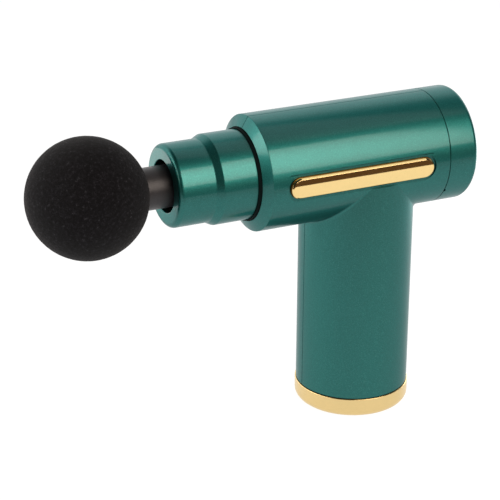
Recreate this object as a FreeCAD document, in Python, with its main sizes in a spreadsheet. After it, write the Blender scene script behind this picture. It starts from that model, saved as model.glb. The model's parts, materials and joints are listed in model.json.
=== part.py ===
import FreeCAD, Part
import math
import os
import re
import Sketcher

# Massage gun, in millimetres, +Z up.
# The handle's axis is the Z axis and the base stands on z = 0.
# The barrel lies along X at axis_height, with the massage head towards -X.
# The housing is two shells split in the plane y = 0, closed by a rear cap, a nose and a base cap.

SIZES = {
    # Barrel and handle, seen from outside
    "axis_height": 103.0,
    "barrel_radius": 22.5,
    "handle_radius": 22.5,
    "shell_wall": 2.2,
    "seam_gap": 0.25,
    "lip_front": 49.9,
    "chamfer_back": 47.3,
    "lip_radius": 18.0,
    "lip_back": 46.4,
    "rear_seam": 28.5,
    "rear_gap": 0.3,
    "rear_face": 41.3,
    "rear_rounding": 2.0,
    "button_opening": 9.25,
    "spigot_front": 25.0,
    "spigot_inner": 18.6,
    "stop_height": 1.6,
    "notch_radius": 0.8,
    "notch_angle": 35.0,
    "clearance": 0.1,
    "overrun": 1.0,
    "ledge_height": 1.0,
    "ledge_inner": 19.0,
    "ledge_bite": 0.2,
    # Base
    "base_height": 8.1,
    "base_radius": 22.9,
    "base_rounding": 3.2,
    "base_floor": 2.4,
    "base_spigot_top": 13.0,
    "base_spigot_inner": 18.2,
    "gasket_thickness": 0.3,
    "pad_radius": 17.0,
    "pad_thickness": 1.0,
    "pad_bevel": 0.3,
    "base_screw_offset": 12.0,
    "base_screw_length": 8.0,
    "tray_bottom": 9.5,
    "tray_thickness": 3.0,
    "tray_post_radius": 3.0,
    # Nose, as distances in front of the handle's axis
    "nose_face": 81.84,
    "nose_front_radius": 15.9,
    "nose_step_front": 67.2,
    "nose_step_back": 64.5,
    "nose_back_radius": 17.3,
    "nose_bore": 10.06,
    "nose_wall": 2.2,
    "nose_rounding": 2.0,
    "bore_rounding": 0.3,
    "flange_front": 46.3,
    "flange_back": 44.0,
    "flange_radius": 20.2,
    "seal_front": 51.0,
    "bush_outer": 13.0,
    "bush_inner": 11.05,
    "front_bush_front": 79.5,
    "front_bush_back": 67.5,
    "rear_bush_front": 58.0,
    "rear_bush_back": 46.0,
    # Piston and massage head
    "piston_radius": 11.0,
    "piston_front": 72.0,
    "piston_back": 30.0,
    "socket_radius": 8.15,
    "socket_end": 52.5,
    "cup_end": 47.5,
    "cup_radius": 9.0,
    "piston_rounding": 0.4,
    "stem_radius": 8.05,
    "stem_back": 53.0,
    "stem_front": 118.0,
    "core_radius": 11.0,
    "core_front": 112.0,
    "core_back": 104.0,
    "stem_chamfer": 1.0,
    "front_ring": 66.0,
    "rear_ring": 58.0,
    "ring_groove_radius": 7.2,
    "ring_radius": 0.45,
    "ball_centre": 111.94,
    "ball_radius": 22.9,
    # Crank and connecting rod
    "crank_offset": 3.5,
    "shaft_radius": 2.5,
    "shaft_bottom": 65.9,
    "shaft_top": 97.4,
    "disc_bottom": 95.6,
    "disc_top": 99.4,
    "disc_radius": 9.0,
    "weight_radius": 13.5,
    "weight_edge": 2.0,
    "pin_bottom": 97.7,
    "pin_thread": 4.0,
    "pin_head": 1.6,
    "rod_length": 38.7,
    "rod_thickness": 4.0,
    "rod_big_radius": 9.2,
    "rod_small_radius": 4.4,
    "rod_web_width": 6.6,
    "rod_pocket_depth": 1.2,
    "rod_pocket_wall": 1.4,
    "rod_pocket_start": 6.0,
    "rod_pocket_end": 12.0,
    "rod_bearing_outer": 6.5,
    "rod_race_outer": 5.4,
    "rod_race_inner": 3.6,
    "rod_ball_radius": 0.85,
    "rod_ball_circle": 4.5,
    "pin_collar_radius": 3.5,
    "wrist_radius": 2.0,
    "wrist_length": 13.0,
    # Motor
    "frame_bottom": 92.2,
    "frame_top": 94.7,
    "frame_radius": 19.8,
    "cheek_inner": 16.9,
    "cheek_outer": 19.4,
    "cheek_length": 28.0,
    "cheek_top": 108.0,
    "frame_hole": 6.1,
    "frame_room_length": 20.0,
    "frame_room_gap": 0.4,
    "damper_height": 1.2,
    "damper_inner": 18.7,
    "damper_outer": 20.1,
    "bell_bottom": 66.3,
    "bell_top": 88.5,
    "bell_radius": 15.0,
    "bell_wall": 1.2,
    "bell_floor": 1.6,
    "bell_hub_radius": 5.0,
    "bell_hub_height": 2.8,
    "magnet_bottom": 72.5,
    "magnet_top": 86.5,
    "magnet_inner": 12.9,
    "magnet_spacing": 0.8,
    "stator_radius": 12.4,
    "stator_bottom": 73.0,
    "stator_top": 86.0,
    "stator_hub_radius": 8.6,
    "tooth_width": 2.4,
    "shoe_width": 7.0,
    "shoe_inner": 11.0,
    "coil_width": 5.0,
    "coil_inner": 8.9,
    "coil_outer": 10.9,
    "coil_overhang": 1.2,
    "tube_outer": 6.6,
    "tube_bore": 4.9,
    "tube_bottom": 70.0,
    "motor_flange_bottom": 90.2,
    "motor_flange_radius": 13.0,
    "motor_spigot_radius": 6.0,
    "motor_spigot_height": 1.2,
    "motor_bearing_outer": 5.5,
    "motor_race_outer": 4.7,
    "motor_race_inner": 3.3,
    "motor_ball_radius": 0.65,
    "motor_ball_circle": 4.0,
    "bearing_height": 4.0,
    "motor_screw_circle": 9.6,
    "motor_screw_length": 4.3,
    # Battery and boards
    "cell_radius": 9.1,
    "cell_offset": 9.3,
    "cell_bottom": 13.3,
    "cell_top": 63.3,
    "link_thickness": 0.3,
    "link_width": 6.0,
    "link_length": 26.0,
    "window_start": 15.0,
    "window_width": 20.0,
    "cover_bottom": 64.0,
    "cover_top": 65.4,
    "board_front": 12.0,
    "board_thickness": 1.6,
    "board_bottom": 14.5,
    "board_top": 63.6,
    "board_width": 24.0,
    "port_height": 24.0,
    "port_mouth": 21.8,
    "port_width": 8.94,
    "port_tall": 3.26,
    "port_gap": 0.5,
    "port_wall": 0.3,
    "port_floor": 1.0,
    "tongue_length": 5.6,
    "tongue_width": 6.7,
    "tongue_thickness": 0.7,
    # Badge and its recess
    "badge_centre": 9.4,
    "badge_height": 102.5,
    "badge_length": 61.0,
    "badge_width": 8.0,
    "badge_face": 23.4,
    "badge_crown": 0.5,
    "badge_inset": 0.6,
    "recess_margin": 1.2,
    "recess_floor": 21.7,
    # Rear button and its board
    "button_radius": 7.4,
    "button_face": 41.0,
    "button_back": 36.6,
    "button_travel": 0.8,
    "button_flange": 1.5,
    "button_dish": 0.5,
    "button_rounding": 0.4,
    "plunger_radius": 1.6,
    "plunger_length": 1.6,
    "switch_size": 6.0,
    "switch_height": 3.5,
    "dome_height": 1.1,
    "lens_inner": 7.6,
    "lens_outer": 9.2,
    "lens_face": 41.2,
    "lens_back": 37.9,
    "lens_flange": 1.3,
    "rear_board_front": 30.2,
    # Fasteners
    "screw_radius": 1.25,
    "screw_head": 2.1,
    "side_screw_spacing": 20.0,
    "side_screw_length": 4.9,
}

# Parts on the main board's back: thickness, width, height, and their lower left corner (y, z)
BOARD_BLOCKS = {
    "motor_driver": (1.0, 7.0, 7.0, -3.5, 36.0),
    "charge_controller": (0.9, 5.0, 5.0, 3.0, 46.0),
    "microcontroller": (0.9, 5.0, 5.0, -8.0, 46.0),
    "power_inductor": (2.6, 5.0, 5.0, -10.5, 29.0),
    "cable_socket": (2.2, 4.0, 3.0, 4.0, 54.6),
    "lead_pads": (0.4, 8.0, 3.0, -4.2, 55.5),
}
CAPACITOR_RADIUS = 2.0
CAPACITOR_HEIGHT = 2.4
CAPACITOR_SPOT = (8.0, 33.0)

# Wires: each leaves its own part along X, runs down inside the handle's back and turns to the board
WIRE_DROP_X = 17.4
LEAD_RADIUS = 0.6
LEAD_BEND = 1.8
LEAD_SPACING = 2.6
LEAD_START = (8.0, 89.35)
LEAD_END_HEIGHT = 57.0
CABLE_RADIUS = 0.7
CABLE_BEND = 1.4
CABLE_OFFSET = 5.2
CABLE_START = (30.2, 89.9)
CABLE_END_HEIGHT = 56.1

INDICATOR_COUNT = 6
INDICATOR_CIRCLE = 8.4
INDICATOR_SIZE = 1.6
INDICATOR_HEIGHT = 0.8

X_AXIS = FreeCAD.Vector(1, 0, 0)
Y_AXIS = FreeCAD.Vector(0, 1, 0)
Z_AXIS = FreeCAD.Vector(0, 0, 1)
UPRIGHT = FreeCAD.Rotation()
ALONG_X = FreeCAD.Rotation(Y_AXIS, 90)
ALONG_Y = FreeCAD.Rotation(X_AXIS, -90)
AT_AXIS = ("0", "0", "axis_height")
HOME = ("0", "0", "0")
FAR = "60"

doc = FreeCAD.newDocument("massage_gun")
sheet = doc.addObject("Spreadsheet::Sheet", "Sizes")
for row, (alias, number) in enumerate(SIZES.items(), start=1):
    sheet.set(f"A{row}", alias)
    sheet.set(f"B{row}", str(number))
    sheet.setAlias(f"B{row}", alias)
doc.recompute()

nodes = []


# Helpers

def bind(thing, prop, text):
    """Tie a property to a formula written in the sheet's aliases."""
    formula = re.sub(r"[a-z][a-z_]+", lambda m: f"Sizes.{m[0]}" if m[0] in SIZES else m[0], str(text))
    thing.setExpression(prop, formula)


def size(alias):
    return float(sheet.get(alias))


def place(thing, base, rotation=UPRIGHT):
    thing.Placement = FreeCAD.Placement(FreeCAD.Vector(), rotation)
    for letter, text in zip("xyz", base):
        bind(thing, f"Placement.Base.{letter}", text)
    return thing


def keep(thing):
    """Count this object as a piece of the gun; its label is its name."""
    nodes.append(thing)
    return thing


def cylinder(name, radius, length, base, rotation=UPRIGHT):
    thing = doc.addObject("Part::Cylinder", name)
    bind(thing, "Radius", radius)
    bind(thing, "Height", length)
    return place(thing, base, rotation)


def cone(name, first, second, length, base, rotation=UPRIGHT):
    thing = doc.addObject("Part::Cone", name)
    bind(thing, "Radius1", first)
    bind(thing, "Radius2", second)
    bind(thing, "Height", length)
    return place(thing, base, rotation)


def box(name, length, width, height, base, rotation=UPRIGHT):
    thing = doc.addObject("Part::Box", name)
    bind(thing, "Length", length)
    bind(thing, "Width", width)
    bind(thing, "Height", height)
    return place(thing, base, rotation)


def sphere(name, radius, base):
    thing = doc.addObject("Part::Sphere", name)
    bind(thing, "Radius", radius)
    return place(thing, base)


def fuse(name, *things):
    thing = doc.addObject("Part::MultiFuse", name)
    thing.Shapes = list(things)
    return thing


def common(name, *things):
    thing = doc.addObject("Part::MultiCommon", name)
    thing.Shapes = list(things)
    return thing


def cut(name, base, *tools):
    thing = doc.addObject("Part::Cut", name)
    thing.Base = base
    thing.Tool = tools[0] if len(tools) == 1 else group(f"{name}_tools", *tools)
    return thing


def group(name, *things):
    thing = doc.addObject("Part::Compound", name)
    thing.Links = list(things)
    return thing


def stadium(name, length, width, depth, centre, rotation):
    """A bar with round ends: its length along X, width along its own Y and depth along its own Z."""
    half = f"(({length}) - ({width})) / 2"
    x, y, z = centre
    ends = [
        cylinder(f"{name}_end_{side}", f"({width}) / 2", depth, (f"({x}) {sign} {half}", y, z), rotation)
        for side, sign in (("front", "-"), ("back", "+"))
    ]
    lift = {"y": f"({y}) - ({width}) / 2", "z": z}
    if rotation == ALONG_Y:
        lift = {"y": y, "z": f"({z}) + ({width}) / 2"}
    bar = box(f"{name}_bar", f"({length}) - ({width})", width, depth,
              (f"({x}) - {half}", lift["y"], lift["z"]), rotation)
    return fuse(name, bar, *ends)


def stadium_along_x(name, width, tall, depth, centre):
    """A bar along X whose section is a flat stadium, wide along Y."""
    x, y, z = centre
    half = f"(({width}) - ({tall})) / 2"
    ends = [
        cylinder(f"{name}_end_{side}", f"({tall}) / 2", depth, (x, f"({y}) {sign} {half}", z), ALONG_X)
        for side, sign in (("left", "-"), ("right", "+"))
    ]
    corner = (x, f"({y}) - {half}", f"({z}) - ({tall}) / 2")
    bar = box(f"{name}_bar", depth, f"({width}) - ({tall})", tall, corner)
    return fuse(name, bar, *ends)


def new_body(name):
    return doc.addObject("PartDesign::Body", name)


def plane_of(body, role):
    return next(item for item in body.Origin.OriginFeatures if item.Role == role)


def outline(body, name, points, role="XZ_Plane"):
    """A closed sketch of straight lines through points given as pairs of formulas."""
    sketch = body.newObject("Sketcher::SketchObject", name)
    sketch.AttachmentSupport = [(plane_of(body, role), "")]
    sketch.MapMode = "FlatFace"
    count = len(points)
    spread = [
        FreeCAD.Vector(50 * math.cos(2 * math.pi * i / count), 50 * math.sin(2 * math.pi * i / count), 0)
        for i in range(count)
    ]
    for i in range(count):
        sketch.addGeometry(Part.LineSegment(spread[i], spread[(i + 1) % count]), False)
    for i in range(count):
        sketch.addConstraint(Sketcher.Constraint("Coincident", i, 2, (i + 1) % count, 1))
    for i, pair in enumerate(points):
        for kind, text, start in zip(("DistanceX", "DistanceY"), pair, (spread[i].x, spread[i].y)):
            index = sketch.addConstraint(Sketcher.Constraint(kind, -1, 1, i, 1, start))
            bind(sketch, f"Constraints[{index}]", text)
    return sketch


def turned(name, points, about="V_Axis", base=HOME):
    """A turned piece: points are (radius, height) about Z, or (place, radius) about X."""
    body = new_body(name)
    turn = body.newObject("PartDesign::Revolution", f"{name}_turn")
    turn.Profile = outline(body, f"{name}_profile", points)
    turn.ReferenceAxis = (turn.Profile[0], [about])
    turn.Angle = 360
    return place(body, base)


def ring_along_x(name, inner, outer, low, high):
    """A plain ring or disc on the barrel's axis, from x = low to x = high."""
    points = [(low, inner), (low, outer), (high, outer), (high, inner)]
    return turned(name, points, "H_Axis", AT_AXIS)


def ring_upright(name, inner, outer, low, high, base=HOME):
    points = [(inner, low), (outer, low), (outer, high), (inner, high)]
    return turned(name, points, "V_Axis", base)


def round_edges(body, radius, picks):
    """Fillet the circular edges at each (place along the axis, edge radius) in picks."""
    doc.recompute()
    base = body.Tip
    names = []
    for index, edge in enumerate(base.Shape.Edges, start=1):
        if edge.Curve.TypeId != "Part::GeomCircle":
            continue
        centre = edge.Curve.Center
        along = centre.x if abs(edge.Curve.Axis.x) > 0.9 else centre.z
        for spot, reach in picks:
            if abs(along - spot) < 0.01 and abs(edge.Curve.Radius - reach) < 0.01:
                names.append(f"Edge{index}")
    fillet = body.newObject("PartDesign::Fillet", f"{body.Label}_fillet")
    fillet.Base = (base, names)
    bind(fillet, "Radius", radius)
    return body


def spokes(name, count, length, width, height, inner, bottom):
    """Boxes spread evenly about Z, each pointing outwards from radius inner."""
    things = []
    for i in range(count):
        angle = 360 / count * i
        across = (
            f"cos({angle}) * ({inner}) + sin({angle}) * ({width}) / 2",
            f"sin({angle}) * ({inner}) - cos({angle}) * ({width}) / 2",
            bottom,
        )
        things.append(box(f"{name}_{i}", length, width, height, across, FreeCAD.Rotation(Z_AXIS, angle)))
    return group(name, *things)


def balls(name, count, radius, pitch, height, centre="0"):
    """Bearing balls spread evenly on a circle about a vertical line at x = centre."""
    things = []
    for i in range(count):
        angle = 360 / count * i
        spot = (f"({centre}) + cos({angle}) * ({pitch})", f"sin({angle}) * ({pitch})", height)
        things.append(sphere(f"{name}_{i}", radius, spot))
    return group(name, *things)


def countersunk(name, length, base, rotation):
    """A countersunk screw whose flat head is at base and whose shank runs along rotation's +Z."""
    head = cone(f"{name}_head", "screw_head", "screw_radius", "screw_head - screw_radius", base, rotation)
    shank = cylinder(f"{name}_shank", "screw_radius", length, base, rotation)
    return fuse(name, head, shank)


def wire(name, points, radius, bend):
    """A round wire along straight runs joined by tangent arcs, which the primitives can't follow."""
    spots = [FreeCAD.Vector(*point) for point in points]
    edges = []
    start = spots[0]
    for before, corner, after in zip(spots, spots[1:], spots[2:]):
        inward = (before - corner).normalize()
        outward = (after - corner).normalize()
        trim = bend / math.tan(inward.getAngle(outward) / 2)
        first = corner + inward * trim
        last = corner + outward * trim
        reach = bend / math.sin(inward.getAngle(outward) / 2) - bend
        middle = corner + (inward + outward).normalize() * reach
        edges.append(Part.LineSegment(start, first).toShape())
        edges.append(Part.Arc(first, middle, last).toShape())
        start = last
    edges.append(Part.LineSegment(start, spots[-1]).toShape())
    circle = Part.Wire([Part.makeCircle(radius, spots[0], spots[1] - spots[0])])
    return Part.Wire(edges).makePipeShell([circle], True, False)


def wires(name, routes, radius, bend):
    thing = doc.addObject("Part::Feature", name)
    thing.Shape = Part.makeCompound([wire(name, route, radius, bend) for route in routes])
    thing.Placement = FreeCAD.Placement()
    return thing


# Housing

def barrel_solid(name, radius, front, back):
    """A cylinder on the barrel's axis from front mm ahead of the handle's axis to back mm behind it."""
    return cylinder(name, radius, f"({front}) + ({back})", (f"-({front})", "0", "axis_height"), ALONG_X)


def handle_ledge(name, inner, bottom, cavity):
    """A rib inside the handle, left out where the barrel's cavity crosses it."""
    ring = ring_upright(f"{name}_ring", inner, "handle_radius - shell_wall + ledge_bite", bottom,
                        f"({bottom}) + ledge_height")
    return cut(name, ring, cavity)


def side_screw(name, side, place_x):
    """A screw through a shell's side wall, under the badge, into the frame's cheek."""
    turn = FreeCAD.Rotation(X_AXIS, -90 if side < 0 else 90)
    return countersunk(name, "side_screw_length", (place_x, f"{side} * recess_floor", "badge_height"), turn)


def make_screws():
    things = []
    for side in (-1, 1):
        for end in (-1, 1):
            name = f"side_screw_{'left' if side < 0 else 'right'}_{'front' if end < 0 else 'back'}"
            things.append(side_screw(name, side, f"{end} * side_screw_spacing / 2"))
    return keep(group("side_screws", *things))


def make_port_opening():
    centre = ("board_front", "0", "port_height")
    return stadium_along_x("port_opening", "port_width + port_gap", "port_tall + port_gap",
                           "handle_radius", centre)


def make_shells(screws):
    outside = fuse(
        "housing_outside",
        barrel_solid("barrel_outside", "barrel_radius", "chamfer_back", "rear_seam"),
        cone("barrel_chamfer", "lip_radius", "barrel_radius", "lip_front - chamfer_back",
             ("-lip_front", "0", "axis_height"), ALONG_X),
        cylinder("handle_outside", "handle_radius", "axis_height - base_height - gasket_thickness",
                 ("0", "0", "base_height + gasket_thickness")),
    )
    cavity = barrel_solid("barrel_cavity", "barrel_radius - shell_wall", "lip_back", "rear_seam + overrun")
    inside = fuse(
        "housing_inside",
        cavity,
        barrel_solid("nose_opening", "lip_radius", "lip_front + overrun", "0"),
        cylinder("handle_cavity", "handle_radius - shell_wall", "axis_height", HOME),
    )
    skin = cut("housing_skin", outside, inside)
    ribbed = fuse(
        "housing_ribbed",
        skin,
        handle_ledge("frame_ledge", "damper_inner", "frame_bottom - damper_height - ledge_height", cavity),
        handle_ledge("battery_ledge", "ledge_inner", "cover_top + clearance", cavity),
    )
    recesses = [
        stadium(f"{side}_recess", "badge_length + 2 * recess_margin", "badge_width + 2 * recess_margin",
                "shell_wall", ("-badge_centre", low, "badge_height"), ALONG_Y)
        for side, low in (("left", "-recess_floor - shell_wall"), ("right", "recess_floor"))
    ]
    carved = cut("housing_carved", ribbed, make_port_opening(), screws, *recesses)
    for side, edge in (("left", f"-{FAR}"), ("right", "seam_gap / 2")):
        half_space = box(f"{side}_side", "4 * rear_face", f"{FAR} - seam_gap / 2", "2 * axis_height",
                         ("-2 * rear_face", edge, "0"))
        keep(common(f"{side}_shell", carved, half_space))


def make_badges():
    """A polished bar with a stepped-in crown, sunk in each shell's recess."""
    thickness = "badge_face - recess_floor - badge_crown"
    for side, low, rim in (
        ("left", "badge_crown - badge_face", "-badge_face"),
        ("right", "recess_floor", "badge_face - badge_crown"),
    ):
        body = stadium(f"{side}_badge_body", "badge_length", "badge_width", thickness,
                       ("-badge_centre", low, "badge_height"), ALONG_Y)
        crown = stadium(f"{side}_badge_top", "badge_length - 2 * badge_inset",
                        "badge_width - 2 * badge_inset", "badge_crown",
                        ("-badge_centre", rim, "badge_height"), ALONG_Y)
        keep(fuse(f"{side}_badge", body, crown))


def make_rear_cap():
    points = [
        ("rear_seam + rear_gap", "barrel_radius"),
        ("rear_face", "barrel_radius"),
        ("rear_face", "button_opening"),
        ("rear_face - shell_wall", "button_opening"),
        ("rear_face - shell_wall", "spigot_inner - stop_height"),
        ("rear_board_front + board_thickness + clearance", "spigot_inner - stop_height"),
        ("rear_board_front + board_thickness + clearance", "spigot_inner"),
        ("spigot_front", "spigot_inner"),
        ("spigot_front", "barrel_radius - shell_wall - clearance"),
        ("rear_seam + rear_gap", "barrel_radius - shell_wall - clearance"),
    ]
    cap = turned("rear_cap_turned", points, "H_Axis", AT_AXIS)
    round_edges(cap, "rear_rounding", [(size("rear_face"), size("barrel_radius"))])
    reach = "(barrel_radius - 2 * notch_radius)"
    spot = ("rear_seam + rear_gap", f"-cos(notch_angle) * {reach}",
            f"axis_height - sin(notch_angle) * {reach}")
    turn = FreeCAD.Rotation(X_AXIS, 90 + size("notch_angle"))
    notch = cylinder("cap_notch", "notch_radius", "4 * notch_radius", spot, turn)
    keep(cut("rear_cap", cap, notch))


def make_base():
    points = [
        ("pad_radius + clearance", "0"),
        ("base_radius", "0"),
        ("base_radius", "base_height"),
        ("handle_radius - shell_wall - clearance", "base_height"),
        ("handle_radius - shell_wall - clearance", "base_spigot_top"),
        ("base_spigot_inner", "base_spigot_top"),
        ("base_spigot_inner", "base_floor"),
        ("0", "base_floor"),
        ("0", "pad_thickness"),
        ("pad_radius + clearance", "pad_thickness"),
    ]
    cap = turned("base_cap_turned", points)
    round_edges(cap, "base_rounding", [(0.0, size("base_radius"))])
    screws = group("base_screws", *[
        countersunk(f"base_screw_{side}", "base_screw_length",
                    (f"{side} * base_screw_offset", "0", "pad_thickness"), UPRIGHT)
        for side in (-1, 1)
    ])
    keep(screws)
    keep(cut("base_cap", cap, screws))
    keep(ring_upright("base_gasket", "handle_radius - shell_wall + clearance",
                      "handle_radius - 2 * clearance", "base_height", "base_height + gasket_thickness"))
    pad_points = [("0", "0"), ("pad_radius - pad_bevel", "0"), ("pad_radius", "pad_bevel"),
                  ("pad_radius", "pad_thickness"), ("0", "pad_thickness")]
    keep(turned("base_pad", pad_points))
    tray = fuse(
        "battery_tray_solid",
        cylinder("tray_plate", "base_spigot_inner - clearance", "tray_thickness", ("0", "0", "tray_bottom")),
        *[cylinder(f"tray_post_{side}", "tray_post_radius", "tray_bottom - base_floor",
                   (f"{side} * base_screw_offset", "0", "base_floor")) for side in (-1, 1)],
    )
    keep(cut("battery_tray", tray, screws))


# Nose

def make_nose():
    points = [
        ("-nose_face", "nose_bore"),
        ("-nose_face", "nose_front_radius"),
        ("-nose_step_front", "nose_front_radius"),
        ("-nose_step_back", "nose_back_radius"),
        ("-flange_front", "nose_back_radius"),
        ("-flange_front", "flange_radius"),
        ("-flange_back", "flange_radius"),
        ("-flange_back", "bush_outer"),
        ("nose_wall - nose_face", "bush_outer"),
        ("nose_wall - nose_face", "nose_bore"),
    ]
    nose = turned("nose_sleeve", points, "H_Axis", AT_AXIS)
    round_edges(nose, "nose_rounding", [(-size("nose_face"), size("nose_front_radius"))])
    round_edges(nose, "bore_rounding", [(-size("nose_face"), size("nose_bore"))])
    keep(nose)
    keep(ring_along_x("nose_seal", "nose_back_radius", "lip_radius",
                      "-seal_front", "-flange_front - clearance"))
    keep(ring_along_x("front_guide_bush", "bush_inner", "bush_outer",
                      "-front_bush_front", "-front_bush_back"))
    keep(ring_along_x("rear_guide_bush", "bush_inner", "bush_outer", "-rear_bush_front", "-rear_bush_back"))


# Piston and massage head

def make_piston():
    points = [
        ("-socket_end", "0"),
        ("-socket_end", "socket_radius"),
        ("-piston_front", "socket_radius"),
        ("-piston_front", "piston_radius"),
        ("-piston_back", "piston_radius"),
        ("-piston_back", "cup_radius"),
        ("-cup_end", "cup_radius"),
        ("-cup_end", "0"),
    ]
    piston = turned("piston", points, "H_Axis", AT_AXIS)
    round_edges(piston, "piston_rounding", [(-size("piston_front"), size("piston_radius")),
                                            (-size("piston_front"), size("socket_radius"))])
    keep(piston)


def groove_points(middle):
    """One seal groove in the stem, from the front side to the back side."""
    return [
        (f"-{middle} - ring_radius - clearance", "stem_radius"),
        (f"-{middle} - ring_radius - clearance", "ring_groove_radius"),
        (f"-{middle} + ring_radius + clearance", "ring_groove_radius"),
        (f"-{middle} + ring_radius + clearance", "stem_radius"),
    ]


def make_head():
    points = [
        ("-stem_front", "0"),
        ("-stem_front", "stem_radius"),
        ("-core_front", "stem_radius"),
        ("-core_front", "core_radius"),
        ("-core_back", "core_radius"),
        ("-core_back", "stem_radius"),
        *groove_points("front_ring"),
        *groove_points("rear_ring"),
        ("-stem_back - stem_chamfer", "stem_radius"),
        ("-stem_back", "stem_radius - stem_chamfer"),
        ("-stem_back", "0"),
    ]
    keep(turned("head_stem", points, "H_Axis", AT_AXIS))
    rings = []
    for spot in ("front_ring", "rear_ring"):
        ring = doc.addObject("Part::Torus", f"stem_{spot}")
        bind(ring, "Radius1", "ring_groove_radius + ring_radius")
        bind(ring, "Radius2", "ring_radius")
        rings.append(place(ring, (f"-{spot}", "0", "axis_height"), ALONG_X))
    keep(group("stem_rings", *rings))
    ball = sphere("ball_solid", "ball_radius", ("-ball_centre", "0", "axis_height"))
    stem_hole = barrel_solid("ball_stem_hole", "stem_radius", "stem_front", "-nose_face")
    core_hole = barrel_solid("ball_core_hole", "core_radius", "core_front", "-core_back")
    keep(cut("foam_ball", ball, stem_hole, core_hole))


# Crank and connecting rod

def make_crank():
    disc = cylinder("disc_plain", "disc_radius", "disc_top - disc_bottom", ("0", "0", "disc_bottom"))
    sweep = cylinder("weight_sweep", "weight_radius", "disc_top - disc_bottom", ("0", "0", "disc_bottom"))
    side = box("weight_side", "weight_radius - weight_edge", "2 * weight_radius", "disc_top - disc_bottom",
               ("-weight_radius", "-weight_radius", "disc_bottom"))
    shaft_hole = cylinder("crank_shaft_hole", "shaft_radius", "shaft_top - disc_bottom",
                          ("0", "0", "disc_bottom"))
    pin_hole = cylinder("crank_pin_hole", "shaft_radius", "disc_top - pin_bottom + overrun",
                        ("crank_offset", "0", "pin_bottom"))
    weight = common("counterweight", sweep, side)
    keep(cut("crank_disc", fuse("crank_blank", disc, weight), shaft_hole, pin_hole))
    pin = fuse(
        "pin_blank",
        cylinder("pin_stem", "shaft_radius", "axis_height + rod_thickness / 2 - pin_bottom",
                 ("crank_offset", "0", "pin_bottom")),
        cylinder("pin_collar", "pin_collar_radius", "axis_height - rod_thickness / 2 - disc_top",
                 ("crank_offset", "0", "disc_top")),
    )
    top = "axis_height + rod_thickness / 2"
    thread = cylinder("pin_hole", "screw_radius", "pin_thread", ("crank_offset", "0", f"{top} - pin_thread"))
    keep(cut("crank_pin", pin, thread))
    keep(fuse(
        "crank_screw",
        cylinder("crank_screw_head", "pin_collar_radius", "pin_head", ("crank_offset", "0", top)),
        cylinder("crank_screw_shank", "screw_radius", "pin_thread",
                 ("crank_offset", "0", f"{top} - pin_thread")),
    ))


def make_rod():
    low = "axis_height - rod_thickness / 2"
    small = "crank_offset - rod_length"
    blank = fuse(
        "rod_blank",
        cylinder("rod_big_end", "rod_big_radius", "rod_thickness", ("crank_offset", "0", low)),
        cylinder("rod_small_end", "rod_small_radius", "rod_thickness", (small, "0", low)),
        box("rod_web", "rod_length", "rod_web_width", "rod_thickness", (small, "-rod_web_width / 2", low)),
    )
    bearing_hole = cylinder("rod_bearing_hole", "rod_bearing_outer", "rod_thickness",
                            ("crank_offset", "0", low))
    wrist_hole = cylinder("rod_wrist_hole", "wrist_radius", "rod_thickness", (small, "0", low))
    pockets = [
        box(f"rod_pocket_{side}", "rod_length - rod_pocket_start - rod_pocket_end",
            "rod_web_width - 2 * rod_pocket_wall", "rod_pocket_depth",
            (f"{small} + rod_pocket_start", "rod_pocket_wall - rod_web_width / 2", level))
        for side, level in (("lower", low), ("upper", "axis_height + rod_thickness / 2 - rod_pocket_depth"))
    ]
    keep(cut("connecting_rod", blank, bearing_hole, wrist_hole, *pockets))
    keep(cylinder("wrist_pin", "wrist_radius", "wrist_length",
                  (small, "0", "axis_height - wrist_length / 2")))
    at_pin = ("crank_offset", "0", "0")
    top = "axis_height + rod_thickness / 2"
    keep(ring_upright("rod_bearing_inner", "shaft_radius", "rod_race_inner", low, top, at_pin))
    keep(ring_upright("rod_bearing_outer_ring", "rod_race_outer", "rod_bearing_outer", low, top, at_pin))
    keep(balls("rod_bearing_balls", 8, "rod_ball_radius", "rod_ball_circle", "axis_height", "crank_offset"))


# Motor

def make_motor_bearing(name, bottom):
    top = f"({bottom}) + bearing_height"
    keep(ring_upright(f"{name}_inner", "shaft_radius", "motor_race_inner", bottom, top))
    keep(ring_upright(f"{name}_outer", "motor_race_outer", "motor_bearing_outer", bottom, top))
    keep(balls(f"{name}_balls", 9, "motor_ball_radius", "motor_ball_circle",
               f"({bottom}) + bearing_height / 2"))


def make_rotor():
    keep(cylinder("motor_shaft", "shaft_radius", "shaft_top - shaft_bottom", ("0", "0", "shaft_bottom")))
    points = [
        ("shaft_radius", "bell_bottom"),
        ("bell_radius", "bell_bottom"),
        ("bell_radius", "bell_top"),
        ("bell_radius - bell_wall", "bell_top"),
        ("bell_radius - bell_wall", "bell_bottom + bell_floor"),
        ("bell_hub_radius", "bell_bottom + bell_floor"),
        ("bell_hub_radius", "bell_bottom + bell_hub_height"),
        ("shaft_radius", "bell_bottom + bell_hub_height"),
    ]
    keep(turned("rotor_bell", points))
    ring = ring_upright("magnet_ring", "magnet_inner", "bell_radius - bell_wall",
                        "magnet_bottom", "magnet_top")
    gaps = spokes("magnet_gaps", 12, "bell_radius - magnet_inner + 2 * overrun", "magnet_spacing",
                  "magnet_top - magnet_bottom", "magnet_inner - overrun", "magnet_bottom")
    keep(cut("rotor_magnets", ring, gaps))


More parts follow.
